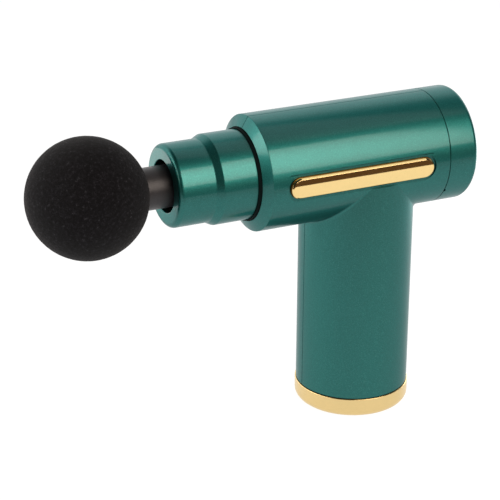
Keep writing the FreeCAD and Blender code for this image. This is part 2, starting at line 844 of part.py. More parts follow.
def make_stator():
    height = "stator_top - stator_bottom"
    blank = cylinder("stator_blank", "stator_radius", height, ("0", "0", "stator_bottom"))
    hub = cylinder("stator_hub", "stator_hub_radius", height, ("0", "0", "stator_bottom"))
    teeth = spokes("stator_teeth", 9, "stator_radius - stator_hub_radius + overrun", "tooth_width", height,
                   "stator_hub_radius - overrun", "stator_bottom")
    shoes = spokes("stator_shoes", 9, "stator_radius - shoe_inner + overrun", "shoe_width", height,
                   "shoe_inner", "stator_bottom")
    star = common("stator_star", blank, fuse("stator_arms", hub, *teeth.Links, *shoes.Links))
    bore = cylinder("stator_bore", "tube_outer", height, ("0", "0", "stator_bottom"))
    keep(cut("stator_core", star, bore))
    coil_height = "stator_top - stator_bottom + 2 * coil_overhang"
    wound = spokes("coil_blocks", 9, "coil_outer - coil_inner", "coil_width", coil_height, "coil_inner",
                   "stator_bottom - coil_overhang")
    keep(cut("stator_coils", wound, *teeth.Links))


def make_motor_base():
    upper = "frame_bottom + motor_spigot_height - bearing_height"
    points = [
        ("tube_bore", "tube_bottom + bearing_height"),
        ("motor_bearing_outer", "tube_bottom + bearing_height"),
        ("motor_bearing_outer", "tube_bottom"),
        ("tube_outer", "tube_bottom"),
        ("tube_outer", "motor_flange_bottom"),
        ("motor_flange_radius", "motor_flange_bottom"),
        ("motor_flange_radius", "frame_bottom"),
        ("motor_spigot_radius", "frame_bottom"),
        ("motor_spigot_radius", "frame_bottom + motor_spigot_height"),
        ("motor_bearing_outer", "frame_bottom + motor_spigot_height"),
        ("motor_bearing_outer", upper),
        ("tube_bore", upper),
    ]
    screws = []
    for i in range(3):
        angle = 120 * i
        spot = (f"cos({angle}) * motor_screw_circle", f"sin({angle}) * motor_screw_circle", "frame_top")
        upside_down = FreeCAD.Rotation(X_AXIS, 180)
        screws.append(countersunk(f"motor_screw_{i}", "motor_screw_length", spot, upside_down))
    motor_screws = keep(group("motor_screws", *screws))
    keep(cut("motor_base", turned("motor_base_turned", points), motor_screws))
    make_motor_bearing("upper_bearing", upper)
    make_motor_bearing("lower_bearing", "tube_bottom")
    return motor_screws


def make_frame(side_screws, motor_screws):
    plate = cylinder("frame_plate", "frame_radius", "frame_top - frame_bottom", ("0", "0", "frame_bottom"))
    cheek_size = ("cheek_length", "cheek_outer - cheek_inner", "cheek_top - frame_bottom")
    cheeks = [
        box(f"{side}_cheek", *cheek_size, ("-cheek_length / 2", edge, "frame_bottom"))
        for side, edge in (("left", "-cheek_outer"), ("right", "cheek_inner"))
    ]
    room = fuse(
        "frame_room",
        barrel_solid("frame_barrel_room", "barrel_radius - shell_wall - frame_room_gap", "frame_room_length",
                     "frame_room_length"),
        cylinder("frame_handle_room", "frame_radius", "frame_top - frame_bottom",
                 ("0", "0", "frame_bottom")),
    )
    solid = common("frame_solid", fuse("frame_blank", plate, *cheeks), room)
    hole = cylinder("frame_centre_hole", "frame_hole", "frame_top - frame_bottom + 2 * overrun",
                    ("0", "0", "frame_bottom - overrun"))
    keep(cut("drive_frame", solid, hole, side_screws, motor_screws))
    keep(ring_upright("damper_ring", "damper_inner", "damper_outer",
                      "frame_bottom - damper_height", "frame_bottom"))


# Battery and boards

def make_battery():
    length = "cell_top - cell_bottom"
    cells = [
        cylinder(f"cell_{side}", "cell_radius", length, ("0", f"{side} * cell_offset", "cell_bottom"))
        for side in (-1, 1)
    ]
    keep(group("battery_cells", *cells))
    bottom_link = box("link_bottom", "link_width", "link_length", "link_thickness",
                      ("-link_width / 2", "-link_length / 2", "cell_bottom - link_thickness"))
    tabs = [
        box(f"link_tab_{side}", "board_front + link_width / 2", "link_width", "link_thickness",
            ("-link_width / 2", f"{side} * cell_offset - link_width / 2", "cell_top"))
        for side in (-1, 1)
    ]
    keep(group("cell_links", bottom_link, *tabs))
    disc = cylinder("cover_disc", "handle_radius - shell_wall - clearance", "cover_top - cover_bottom",
                    ("0", "0", "cover_bottom"))
    window = box("cover_window", "handle_radius - window_start", "window_width",
                 "cover_top - cover_bottom + 2 * overrun",
                 ("window_start", "-window_width / 2", "cover_bottom - overrun"))
    keep(cut("battery_cover", disc, window))


def make_main_board():
    face = "board_front + board_thickness"
    keep(box("main_board", "board_thickness", "board_width", "board_top - board_bottom",
             ("board_front", "-board_width / 2", "board_bottom")))
    chips = [
        box(name, thickness, width, height, (face, y, z))
        for name, (thickness, width, height, y, z) in BOARD_BLOCKS.items()
    ]
    chips.append(cylinder("bulk_capacitor", CAPACITOR_RADIUS, CAPACITOR_HEIGHT,
                          (face, *CAPACITOR_SPOT), ALONG_X))
    keep(group("board_components", *chips))
    depth = "port_mouth - board_front - board_thickness"
    centre = (face, "0", "port_height")
    outer = stadium_along_x("port_outer", "port_width", "port_tall", depth, centre)
    mouth = (f"{face} + port_floor", "0", "port_height")
    inner = stadium_along_x("port_inner", "port_width - 2 * port_wall",
                            "port_tall - 2 * port_wall", depth, mouth)
    keep(cut("charge_port", outer, inner))
    keep(box("charge_port_tongue", "tongue_length", "tongue_width", "tongue_thickness",
             (f"{face} + port_floor", "-tongue_width / 2", "port_height - tongue_thickness / 2")))


def wire_route(start, offset, drop_height, end_x):
    """Out along X at one level, down the handle's back, and in to the board."""
    start_x, start_z = start
    return [
        (start_x, offset, start_z),
        (WIRE_DROP_X, offset, start_z),
        (WIRE_DROP_X, offset, drop_height),
        (end_x, offset, drop_height),
    ]


def make_wires():
    face = size("board_front") + size("board_thickness")
    pads = face + BOARD_BLOCKS["lead_pads"][0]
    socket = face + BOARD_BLOCKS["cable_socket"][0]
    leads = [
        wire_route(LEAD_START, number * LEAD_SPACING, LEAD_END_HEIGHT, pads)
        for number in (-1, 0, 1)
    ]
    keep(wires("motor_leads", leads, LEAD_RADIUS, LEAD_BEND))
    cable = wire_route(CABLE_START, CABLE_OFFSET, CABLE_END_HEIGHT, socket)
    keep(wires("button_cable", [cable], CABLE_RADIUS, CABLE_BEND))


# Rear button

def make_button():
    button = [
        ("button_back", "0"),
        ("button_back", "button_radius + button_flange"),
        ("lens_back - clearance", "button_radius + button_flange"),
        ("lens_back - clearance", "button_radius"),
        ("button_face", "button_radius"),
        ("button_face", "button_radius - 2 * button_dish"),
        ("button_face - button_dish", "0"),
    ]
    cap = turned("power_button", button, "H_Axis", AT_AXIS)
    round_edges(cap, "button_rounding", [(size("button_face"), size("button_radius"))])
    keep(cap)
    keep(barrel_solid("switch_plunger", "plunger_radius", "plunger_length - button_back", "button_back"))
    lens = [
        ("lens_back", "lens_inner"),
        ("lens_back", "lens_outer + lens_flange"),
        ("rear_face - shell_wall", "lens_outer + lens_flange"),
        ("rear_face - shell_wall", "lens_outer"),
        ("lens_face", "lens_outer"),
        ("lens_face", "lens_inner"),
    ]
    keep(turned("button_light_ring", lens, "H_Axis", AT_AXIS))
    face = "rear_board_front + board_thickness"
    keep(ring_along_x("button_board", "0", "spigot_inner - clearance", "rear_board_front", face))
    switch = box("switch_block", "switch_height", "switch_size", "switch_size",
                 (face, "-switch_size / 2", "axis_height - switch_size / 2"))
    well_floor = "button_back - plunger_length - button_travel - dome_height"
    well = barrel_solid("switch_well", "plunger_radius + 2 * clearance", f"-({well_floor})", "button_face")
    keep(cut("button_switch", switch, well))
    lights = []
    for i in range(INDICATOR_COUNT):
        angle = 360 / INDICATOR_COUNT * (i + 0.5)
        spot = (
            face,
            f"cos({angle}) * {INDICATOR_CIRCLE} - {INDICATOR_SIZE / 2}",
            f"axis_height + sin({angle}) * {INDICATOR_CIRCLE} - {INDICATOR_SIZE / 2}",
        )
        lights.append(box(f"indicator_{i}", INDICATOR_HEIGHT, INDICATOR_SIZE, INDICATOR_SIZE, spot))
    keep(group("indicator_lights", *lights))


side_screws = make_screws()
make_shells(side_screws)
make_badges()
make_rear_cap()
make_base()
make_nose()
make_piston()
make_head()
make_crank()
make_rod()
make_rotor()
make_stator()
make_frame(side_screws, make_motor_base())
make_battery()
make_main_board()
make_wires()
make_button()
doc.recompute()

for thing in doc.Objects:
    if "Invalid" in thing.State or "Error" in thing.State:
        raise RuntimeError(f"{thing.Label} failed: {thing.State}")
for node in nodes:
    if node.Shape.isNull() or not node.Shape.isValid() or node.Shape.Volume <= 0:
        raise RuntimeError(f"{node.Label} has no valid shape")

os.makedirs("parts", exist_ok=True)
for node in nodes:
    node.Shape.exportStep(f"parts/{node.Label}.step")
print(f"wrote {len(nodes)} pieces")
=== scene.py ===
import json
import math

import bmesh
import bpy
import numpy as np
from mathutils import Matrix, Vector, noise


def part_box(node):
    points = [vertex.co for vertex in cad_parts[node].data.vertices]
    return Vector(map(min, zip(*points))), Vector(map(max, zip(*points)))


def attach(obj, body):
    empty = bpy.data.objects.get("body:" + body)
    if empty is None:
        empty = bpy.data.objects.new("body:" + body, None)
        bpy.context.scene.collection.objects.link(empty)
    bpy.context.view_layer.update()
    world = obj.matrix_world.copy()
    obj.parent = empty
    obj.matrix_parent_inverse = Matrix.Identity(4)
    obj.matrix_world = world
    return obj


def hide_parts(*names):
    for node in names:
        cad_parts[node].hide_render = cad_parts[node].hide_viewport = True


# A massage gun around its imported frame. Metres; +Z up, the massage head towards -X.
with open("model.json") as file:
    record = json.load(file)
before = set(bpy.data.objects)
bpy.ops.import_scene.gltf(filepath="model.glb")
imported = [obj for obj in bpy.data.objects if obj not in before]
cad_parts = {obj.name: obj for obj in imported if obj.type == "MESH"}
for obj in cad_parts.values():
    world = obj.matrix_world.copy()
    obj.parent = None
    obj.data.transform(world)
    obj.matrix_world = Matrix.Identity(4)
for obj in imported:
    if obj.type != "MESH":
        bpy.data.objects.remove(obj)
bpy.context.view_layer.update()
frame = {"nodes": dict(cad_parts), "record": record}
nodes = frame["nodes"]
MM = 0.001


# Where things are, read from the frame

def low(node):
    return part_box(node)[0]


def high(node):
    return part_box(node)[1]


def middle(node):
    return (low(node) + high(node)) / 2


AXIS_HEIGHT = middle("nose_sleeve").z
AXIS = AXIS_HEIGHT / MM
BALL_RADIUS = (high("foam_ball").z - low("foam_ball").z) / 2
BALL_CENTRE = Vector((low("foam_ball").x + BALL_RADIUS, 0, AXIS_HEIGHT))


# Node helpers

def new_material(name):
    material = bpy.data.materials.new(name)
    material.use_nodes = True
    tree = material.node_tree
    return material, tree, tree.nodes["Principled BSDF"]


def add(tree, kind, **settings):
    """A node with its own properties set."""
    node = tree.nodes.new(kind)
    for name, value in settings.items():
        setattr(node, name, value)
    return node


def ramp(tree, source, stops):
    """A colour ramp through (position, colour) stops, driven by a socket."""
    node = tree.nodes.new("ShaderNodeValToRGB")
    elements = node.color_ramp.elements
    while len(elements) < len(stops):
        elements.new(0.5)
    for element, (position, colour) in zip(elements, stops):
        element.position = position
        element.color = (*colour, 1)
    tree.links.new(source, node.inputs["Fac"])
    return node.outputs["Color"]


def mapped(tree, source, wanted, given=(0.0, 1.0), curve="LINEAR"):
    """A socket whose given range becomes the wanted one, and stops at its ends."""
    node = add(tree, "ShaderNodeMapRange", interpolation_type=curve)
    for socket, value in zip(("From Min", "From Max", "To Min", "To Max"), (*given, *wanted)):
        node.inputs[socket].default_value = value
    tree.links.new(source, node.inputs["Value"])
    return node.outputs["Result"]


def object_noise(tree, scale, detail=4.0, roughness=0.5):
    coordinates = tree.nodes.new("ShaderNodeTexCoord")
    texture = tree.nodes.new("ShaderNodeTexNoise")
    texture.inputs["Scale"].default_value = scale
    texture.inputs["Detail"].default_value = detail
    texture.inputs["Roughness"].default_value = roughness
    tree.links.new(coordinates.outputs["Object"], texture.inputs["Vector"])
    return texture.outputs["Fac"]


def bump(tree, shader, height, strength, distance):
    node = tree.nodes.new("ShaderNodeBump")
    node.inputs["Strength"].default_value = strength
    node.inputs["Distance"].default_value = distance
    tree.links.new(height, node.inputs["Height"])
    tree.links.new(node.outputs["Normal"], shader.inputs["Normal"])


def simple(name, colour, metallic, roughness, grain=900.0, spread=0.12, depth=0.02, specular=0.5):
    """A plain material with fine variation in colour and roughness and a slight surface grain."""
    material, tree, shader = new_material(name)
    grain_map = object_noise(tree, grain)
    dark = tuple(channel * (1 - spread) for channel in colour)
    light = tuple(min(1.0, channel * (1 + spread)) for channel in colour)
    tree.links.new(ramp(tree, grain_map, [(0.3, dark), (0.7, light)]), shader.inputs["Base Color"])
    tree.links.new(mapped(tree, grain_map, (roughness * 0.85, roughness * 1.15)), shader.inputs["Roughness"])
    shader.inputs["Metallic"].default_value = metallic
    shader.inputs["Specular IOR Level"].default_value = specular
    bump(tree, shader, grain_map, depth, 0.0001)
    return material


def paint():
    """Pearl paint: a broad green metallic flake layer under a sharper clear coat."""
    material, tree, shader = new_material("housing_paint")
    flakes = object_noise(tree, 2600.0, 3.0, 0.65)
    clouds = object_noise(tree, 60.0, 3.0, 0.5)
    colour = ramp(tree, flakes, [(0.25, (0.011, 0.096, 0.086)), (0.55, (0.016, 0.131, 0.118)),
                                 (0.80, (0.040, 0.199, 0.178))])
    tree.links.new(colour, shader.inputs["Base Color"])
    tree.links.new(mapped(tree, clouds, (0.38, 0.44)), shader.inputs["Roughness"])
    shader.inputs["Metallic"].default_value = 1.0
    shader.inputs["Specular Tint"].default_value = (0.48, 0.58, 0.60, 1)
    shader.inputs["Coat Weight"].default_value = 0.4
    shader.inputs["Coat Roughness"].default_value = 0.13
    shader.inputs["Coat IOR"].default_value = 1.5
    bump(tree, shader, flakes, 0.10, 0.00004)
    return material


def gold(name, roughness, colour, depth=0.02):
    material, tree, shader = new_material(name)
    wear = object_noise(tree, 400.0, 5.0, 0.6)
    light = tuple(min(1.0, channel * 1.04) for channel in colour)
    tree.links.new(ramp(tree, wear, [(0.3, colour), (0.7, light)]), shader.inputs["Base Color"])
    tree.links.new(mapped(tree, wear, (roughness * 0.8, roughness * 1.25)), shader.inputs["Roughness"])
    shader.inputs["Metallic"].default_value = 1.0
    bump(tree, shader, wear, depth, 0.00005)
    return material


def foam():
    """Near-black closed-cell foam with faint mottling and tiny pale specks."""
    material, tree, shader = new_material("ball_foam")
    mottle = object_noise(tree, 800.0, 6.0, 0.75)
    colour = ramp(tree, mottle, [(0.30, (0.0016, 0.0016, 0.0020)), (0.50, (0.0036, 0.0036, 0.0044)),
                                 (0.60, (0.008, 0.008, 0.010)), (0.72, (0.038, 0.039, 0.043))])
    tree.links.new(colour, shader.inputs["Base Color"])
    shader.inputs["Roughness"].default_value = 0.92
    shader.inputs["Specular IOR Level"].default_value = 0.12
    shader.inputs["Sheen Weight"].default_value = 0.03
    shader.inputs["Sheen Roughness"].default_value = 0.5
    bump(tree, shader, mottle, 0.5, 0.0002)
    return material


MATERIALS = {
    "housing_paint": paint(),
    "gold_trim": gold("gold_trim", 0.30, (0.72, 0.54, 0.25)),
    "gold_mirror": gold("gold_mirror", 0.05, (0.82, 0.61, 0.27), 0.003),
    # Dark bronze for the ring round the badge's sides: painted shade, standing in for the shadow and dark
    # reflection along the badge's edge.
    "dark_edge_painted_shade": simple("dark_edge_painted_shade", (0.16, 0.10, 0.03), 1.0, 0.42),
    # Near-black rubber with almost no specular: real black rubber, darkened further so that the nose seal
    # also stands in for the shadow in the gap at the lip, partly painted shade. The sole and the gasket share
    # it.
    "seal_rubber": simple("seal_rubber", (0.002, 0.006, 0.006), 0.0, 0.7, 1500.0, specular=0.04),
    "ball_foam": foam(),
    "stem_plastic": simple("stem_plastic", (0.022, 0.021, 0.023), 0.0, 0.40, 1400.0, specular=0.32),
    "bush_polymer": simple("bush_polymer", (0.02, 0.02, 0.02), 0.0, 0.5),
    "machined_aluminium": simple("machined_aluminium", (0.56, 0.57, 0.58), 1.0, 0.32),
    "bearing_steel": simple("bearing_steel", (0.60, 0.60, 0.61), 1.0, 0.15),
    "drive_steel": simple("drive_steel", (0.50, 0.50, 0.51), 1.0, 0.28),
    "core_steel": simple("core_steel", (0.28, 0.29, 0.31), 1.0, 0.45),
    "magnet": simple("magnet", (0.42, 0.42, 0.43), 1.0, 0.3),
    "copper_winding": simple("copper_winding", (0.62, 0.26, 0.10), 1.0, 0.3),
    "screw_steel": simple("screw_steel", (0.12, 0.12, 0.125), 1.0, 0.35),
    "inner_plastic": simple("inner_plastic", (0.03, 0.03, 0.032), 0.0, 0.5),
    "cell_can": simple("cell_can", (0.03, 0.12, 0.36), 0.0, 0.35),
    "nickel_strip": simple("nickel_strip", (0.62, 0.60, 0.54), 1.0, 0.3),
    "circuit_board": simple("circuit_board", (0.008, 0.07, 0.03), 0.0, 0.35),
    "board_parts": simple("board_parts", (0.015, 0.015, 0.016), 0.0, 0.45),
    "port_metal": simple("port_metal", (0.52, 0.52, 0.53), 1.0, 0.22),
    "wire_jacket": simple("wire_jacket", (0.25, 0.015, 0.015), 0.0, 0.45),
    "button_plastic": simple("button_plastic", (0.014, 0.10, 0.085), 0.6, 0.35),
    "light_lens": simple("light_lens", (0.75, 0.78, 0.76), 0.0, 0.4),
}

for row in frame["record"]["subparts"]:
    thing = nodes[row["node"]]
    thing.data.materials.clear()
    thing.data.materials.append(MATERIALS[row["material_slot"]])


# Meshes, in millimetres until they are made

def quads(here, there, count):
    """Faces between two closed rings of points, by the places where the rings start."""
    return [(here + i, here + (i + 1) % count, there + (i + 1) % count, there + i) for i in range(count)]


def new_object(name, verts, faces):
    """A closed smooth mesh from points in millimetres."""
    mesh = bpy.data.meshes.new(name)
    mesh.from_pydata([tuple(value * MM for value in vert) for vert in verts], [], faces)
    work = bmesh.new()
    work.from_mesh(mesh)
    bmesh.ops.remove_doubles(work, verts=work.verts, dist=1e-7)
    bmesh.ops.dissolve_degenerate(work, edges=work.edges, dist=1e-7)
    bmesh.ops.recalc_face_normals(work, faces=work.faces)
    work.to_mesh(mesh)
    work.free()
    smooth(mesh)
    thing = bpy.data.objects.new(name, mesh)
    bpy.context.scene.collection.objects.link(thing)
    return thing


def smooth(mesh, angle=28):
    mesh.polygons.foreach_set("use_smooth", [True] * len(mesh.polygons))
    mesh.set_sharp_from_angle(angle=math.radians(angle))


def even_shading(thing):
    """Let each flat or evenly curved stretch keep its own shading up to its rounded edges."""
    modifier = thing.modifiers.new("even_shading", "WEIGHTED_NORMAL")
    modifier.keep_sharp = True


def finish(thing, slot, body, *replaced):
    """Give a piece its material, its body and the CAD nodes that it stands for."""
    thing.data.materials.clear()
    thing.data.materials.append(MATERIALS[slot])
    even_shading(thing)
    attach(thing, body)
    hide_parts(*replaced)


def rounded(corners, steps=6, closed=True):
    """An outline from corners (u, v) or (u, v, radius of its rounding), with the roundings as arcs."""
    points = []
    count = len(corners)
    for index, corner in enumerate(corners):
        here = Vector(corner[:2])
        if len(corner) == 2 or (not closed and index in (0, count - 1)):
            points.append(here)
            continue
        back = (Vector(corners[index - 1][:2]) - here).normalized()
        ahead = (Vector(corners[(index + 1) % count][:2]) - here).normalized()
        half = back.angle(ahead) / 2
        inward = (back + ahead).normalized()
        centre = here + inward * corner[2] / math.sin(half)
        across = (back - ahead).normalized()
        sweep = math.pi / 2 - half
        points += [centre + corner[2] * (across * math.sin(turn) - inward * math.cos(turn))
                   for turn in np.linspace(sweep, -sweep, steps + 1)]
    return points


def lathe(name, corners, along="X", segments=224, steps=6):
    """A turned piece: corners are (place, radius, rounding) along the barrel's axis or the handle's."""
    section = rounded(corners, steps)
    count = len(section)
    verts = []
    for ring in range(segments):
        sine, cosine = math.sin(2 * math.pi * ring / segments), math.cos(2 * math.pi * ring / segments)
        for place, radius in section:
            if along == "X":
                verts.append((place, radius * sine, AXIS + radius * cosine))
            else:
                verts.append((radius * cosine, radius * sine, place))
    faces = []
    for ring in range(segments):
        faces += quads(ring * count, (ring + 1) % segments * count, count)
    return new_object(name, verts, faces)


def carve(thing, *cutters):
    """Cut closed pieces out of a piece, for good."""
    for cutter in cutters:
        modifier = thing.modifiers.new("carve", "BOOLEAN")
        modifier.operation = "DIFFERENCE"
        modifier.solver = "EXACT"
        modifier.object = cutter
    shape = bpy.data.meshes.new_from_object(thing.evaluated_get(bpy.context.evaluated_depsgraph_get()))
    thing.modifiers.clear()
    thing.data = shape
    for cutter in cutters:
        bpy.data.objects.remove(cutter)
    smooth(shape)


def stadium(length, width, steps=20):
    """The outline of a bar with round ends, about its own centre."""
    reach = (length - width) / 2
    points = []
    for end in (1, -1):
        for step in range(steps + 1):
            angle = math.pi * step / steps - math.pi / 2
            points.append((end * (reach + width / 2 * math.cos(angle)), end * width / 2 * math.sin(angle)))
    return points


def stacked(name, rings):
    """A closed piece from rings of equal numbers of points, with flat ends."""
    count = len(rings[0])
    faces = [tuple(range(count)), tuple(range((len(rings) - 1) * count, len(rings) * count))]
    for level in range(len(rings) - 1):
        faces += quads(level * count, (level + 1) * count, count)
    return new_object(name, [point for ring in rings for point in ring], faces)


# Housing shells: two equal cylinders, so at every level away from the seam the T is a plain right-angled one.
# The first and last corner of each end below only give its roundings their directions, and are left out.

RADIUS = high("right_shell").y / MM
WALL = 2.2
HALF_GAP = low("right_shell").y / MM
FOOT = low("right_shell").z / MM
LIP = low("right_shell").x / MM
REAR = high("right_shell").x / MM
LIP_RADIUS = high("nose_seal").z / MM - AXIS
LIP_DEPTH = 2.85
CHAMFER = 2.6
JUNCTION_FILLET = 1.6
EDGE = 0.07
FRONT_ROUNDINGS = (0.3, 0.2)
ROWS = 56
HANDLE_STEPS, BARREL_STEPS, FILLET_STEPS = 40, 30, 9


def spot(radius, sine):
    """How far a place on a cylinder is from the seam plane and from the other axis plane."""
    across = max(HALF_GAP, radius * sine)
    return across, math.sqrt(radius ** 2 - across ** 2)


def levels():
    """Places round a quarter of the shell, from its rounded seam edge out to its side."""
    rows = []
    for turn in (90, 60, 30, 0):
        angle = math.radians(turn)
        rows.append(((HALF_GAP + EDGE * (1 - math.sin(angle))) / RADIUS, EDGE * (1 - math.cos(angle))))
    rows += [(math.sin(math.pi / 2 * row / ROWS), 0) for row in range(1, ROWS + 1)]
    return rows


def front_end(inner):
    """The barrel's front edge: its chamfer outside, and the back of its lip inside."""
    behind, ahead = FRONT_ROUNDINGS
    outer = rounded([(LIP + 2 * CHAMFER, RADIUS), (LIP + CHAMFER, RADIUS, behind),
                     (LIP, LIP_RADIUS, ahead), (LIP + LIP_DEPTH, LIP_RADIUS)], closed=False)[1:-1]
    if not inner:
        return outer
    return [(LIP + LIP_DEPTH, radius) for radius in np.linspace(RADIUS - WALL, LIP_RADIUS, len(outer))]


def rear_end(inner):
    """The barrel's rear edge, where the end cap meets it."""
    outer = rounded([(REAR - 5, RADIUS), (REAR, RADIUS, EDGE), (REAR, RADIUS - 1)], 3, closed=False)[1:-1]
    if not inner:
        return outer
    return [(REAR, RADIUS - WALL)] * len(outer)


def foot(inner):
    """The handle's lower edge, where the base meets it."""
    outer = rounded([(FOOT, RADIUS - 1), (FOOT, RADIUS, EDGE), (FOOT + 5, RADIUS)], 3, closed=False)[1:-1]
    if not inner:
        return outer
    return [(FOOT, RADIUS - WALL)] * len(outer)


def lower_chain(sine, shrink, inner, toward):
    """Up the handle from its foot, round the junction and along the barrel's underside to its end."""
    radius = RADIUS - WALL if inner else RADIUS
    end = front_end(inner) if toward < 0 else rear_end(inner)
    points = []
    for height, reach in foot(inner):
        across, side = spot(reach - shrink, sine)
        points.append((toward * side, across, height))
    across, side = spot(radius - shrink, sine)
    bend = JUNCTION_FILLET * side / radius
    corner = AXIS - side - bend
    heights = np.linspace(points[-1][2], corner, HANDLE_STEPS)[1:]
    points += [(toward * side, across, height) for height in heights]
    for turn in np.linspace(0, math.pi / 2, FILLET_STEPS)[1:]:
        reach = side + bend - bend * math.cos(turn)
        points.append((toward * reach, across, corner + bend * math.sin(turn)))
    places = np.linspace(toward * (side + bend), end[0][0], BARREL_STEPS)[1:]
    points += [(place, across, AXIS - side) for place in places]
    for place, reach in end[1:]:
        across, side = spot(reach - shrink, sine)
        points.append((place, across, AXIS - side))
    return points


def upper_chain(sine, shrink, inner):
    """Along the top of the barrel from its front end to its rear end."""
    radius = RADIUS - WALL if inner else RADIUS
    front, rear = front_end(inner), rear_end(inner)
    line = front[::-1]
    line += [(place, radius) for place in np.linspace(front[0][0], 0, BARREL_STEPS)[1:]]
    line += [(place, radius) for place in np.linspace(0, rear[0][0], BARREL_STEPS)[1:]]
    line += rear[1:]
    points = []
    for place, reach in line:
        across, side = spot(reach - shrink, sine)
        points.append((place, across, AXIS + side))
    return points


def make_shell(side, sign):
    """One thick half of the housing, with the badge's seat and the charging socket's mouth carved out."""
    verts, faces = [], []
    for chain in (lambda *row: lower_chain(*row, -1), lambda *row: lower_chain(*row, 1), upper_chain):
        first = len(verts)
        rows = [chain(sine, shrink, False) + chain(sine, 0, True)[::-1] for sine, shrink in levels()]
        count = len(rows[0])
        verts += [(x, sign * y, z) for row in rows for x, y, z in row]
        for row in range(len(rows) - 1):
            faces += quads(first + row * count, first + (row + 1) * count, count)
        faces += [(first + i, first + i + 1, first + count - 2 - i, first + count - 1 - i)
                  for i in range(count // 2 - 1)]
    shell = new_object(f"{side}_shell_skin", verts, faces)
    carve(shell, recess_cutter(sign), seat_groove_cutter(sign), port_cutter())
    finish(shell, "housing_paint", "housing", f"{side}_shell")


# Badges, and what is cut out of the shells

BADGE_CENTRE = middle("left_badge") / MM
BADGE_LENGTH = (high("left_badge").x - low("left_badge").x) / MM
BADGE_WIDTH = (high("left_badge").z - low("left_badge").z) / MM
BADGE_FACE = high("right_badge").y / MM
RECESS_FLOOR = low("right_badge").y / MM
RECESS_MARGIN = 1.2
SEAT_GROOVE = 0.28
SEAT_GROOVE_DEPTH = 0.3
BEVEL = 0.5
BADGE_ROUNDINGS = (0.1, 0.12)
RIM, RIM_DROP, RIM_OVERLAP = 0.3, 1.3, 0.05
PORT_MOUTH = (9.44, 3.76)
PORT_MOUTH_START = 12
CUTTER_REACH = 3
GROOVE_OVERLAP = 0.02


def recess_cutter(sign):
    """The badge's flat seat in the side of the barrel."""
    outline = stadium(BADGE_LENGTH + 2 * RECESS_MARGIN, BADGE_WIDTH + 2 * RECESS_MARGIN)
    rings = [[(BADGE_CENTRE.x + u, sign * depth, BADGE_CENTRE.z + v) for u, v in outline]
             for depth in (RECESS_FLOOR, RADIUS + CUTTER_REACH)]
    return stacked("recess_cutter", rings)


def seat_groove_cutter(sign):
    """A fine groove along the top edge of the badge's flat seat."""
    half = BADGE_LENGTH / 2
    bottom = BADGE_CENTRE.z + BADGE_WIDTH / 2 + RECESS_MARGIN - GROOVE_OVERLAP
    outline = [(-half, 0), (half, 0), (half, SEAT_GROOVE), (-half, SEAT_GROOVE)]
    rings = [[(BADGE_CENTRE.x + u, sign * depth, bottom + v) for u, v in outline]
             for depth in (RECESS_FLOOR - SEAT_GROOVE_DEPTH, RADIUS + CUTTER_REACH)]
    return stacked("seat_groove_cutter", rings)


def port_cutter():
    """The mouth of the charging socket, through the back of the handle."""
    height = middle("charge_port").z / MM
    rings = [[(depth, u, height + v) for u, v in stadium(*PORT_MOUTH)]
             for depth in (PORT_MOUTH_START, RADIUS + CUTTER_REACH)]
    return stacked("port_cutter", rings)


def make_badge(side, sign):
    """A polished bar with bevelled edges, whose face follows the barrel's curve, and a dark ring of painted
    shade round its sides.
    """
    def ring(inset, drop):
        """An outline of the bar at an inset from its edge, some way below its face or down on its seat."""
        points = []
        for u, v in stadium(BADGE_LENGTH - 2 * inset, BADGE_WIDTH - 2 * inset):
            height = BADGE_CENTRE.z + v
            face = math.sqrt(BADGE_FACE ** 2 - (height - AXIS) ** 2) - drop
            points.append((BADGE_CENTRE.x + u, sign * (face if drop < BADGE_FACE else RECESS_FLOOR), height))
        return points

    outer, inner = BADGE_ROUNDINGS
    corners = [(0, 2 * BEVEL), (0, BEVEL, outer), (BEVEL, 0, inner), (2 * BEVEL, 0)]
    rings = [ring(0, BADGE_FACE)]
    rings += [ring(inset, drop) for inset, drop in rounded(corners, 4, closed=False)]
    rings += [ring(inset, 0) for inset in np.linspace(2 * BEVEL, BADGE_WIDTH / 2 - 0.1, 12)[1:]]
    badge = stacked(f"{side}_badge_bar", rings)
    finish(badge, "gold_mirror", "housing", f"{side}_badge")
    # A dark bronze ring round the badge's sides, just outside its outline: painted shade for the shadow and
    # dark reflection there.
    rings = [ring(-RIM, BADGE_FACE), ring(-RIM, RIM_DROP), ring(-RIM / 2, 2 * BEVEL),
             ring(RIM_OVERLAP, 2 * BEVEL)]
    finish(stacked(f"{side}_badge_painted_shade_ring", rings), "dark_edge_painted_shade", "housing", f"{side}_badge")


# Nose and its seal, turned about the barrel's axis

NOSE_FACE = low("nose_sleeve").x / MM
NOSE_BORE = 10.06
NOSE_FRONT_RADIUS = 15.9
NOSE_BACK_RADIUS = 17.3
NOSE_ROUNDING, STEP_ROUNDING = 2.0, 1.2
STEP_FRONT, STEP_BACK = -67.2, -64.5
FLANGE_FRONT, FLANGE_BACK = -46.3, high("nose_sleeve").x / MM
FLANGE_RADIUS = high("nose_sleeve").z / MM - AXIS
NOSE_CAVITY = 13.1
NOSE_WALL = 2.3
SEAL_CLEARANCE, SEAL_SQUEEZE, SEAL_FACE = 0.2, 0.06, 0.4


def make_nose():
    """The stepped nose, with a flange that the housing's lip holds."""
    floor = NOSE_FACE + NOSE_WALL
    nose = lathe("nose_cone", [
        (NOSE_FACE, NOSE_BORE, 0.3), (NOSE_FACE, NOSE_FRONT_RADIUS, NOSE_ROUNDING),
        (STEP_FRONT, NOSE_FRONT_RADIUS, STEP_ROUNDING), (STEP_BACK, NOSE_BACK_RADIUS, STEP_ROUNDING),
        (FLANGE_FRONT, NOSE_BACK_RADIUS), (FLANGE_FRONT, FLANGE_RADIUS), (FLANGE_BACK, FLANGE_RADIUS),
        (FLANGE_BACK, NOSE_CAVITY), (floor, NOSE_CAVITY), (floor, NOSE_BORE)], steps=10)
    finish(nose, "housing_paint", "housing", "nose_sleeve")


